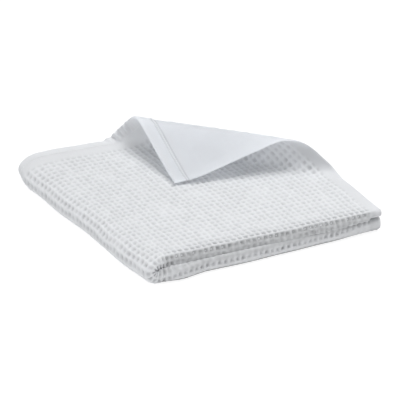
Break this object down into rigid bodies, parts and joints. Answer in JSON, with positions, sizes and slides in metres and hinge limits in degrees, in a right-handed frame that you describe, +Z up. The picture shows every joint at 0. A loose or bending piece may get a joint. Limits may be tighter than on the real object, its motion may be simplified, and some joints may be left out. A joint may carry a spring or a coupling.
{
  "type": "folded bath sheet",
  "caption": "White waffle-woven cotton bath sheet, folded in thirds and then in half, lying flat with its top corner loosely rolled back.",
  "frame": {"origin": "centre of the footprint, on the surface that the folded sheet lies on", "axes": "+X to the right along the front folds, from the big fold at the left to the selvedges; +Y from the front folds to the hemmed back end; +Z up"},
  "size_m": [0.4562, 0.49, 0.1044],
  "materials": {
    "waffle_cotton": "matte lofty waffle-woven cotton, white with a slight cool tone"
  },
  "bodies": {
    "root": {"bath_sheet": "waffle_cotton"}
  },
  "joints": []
}
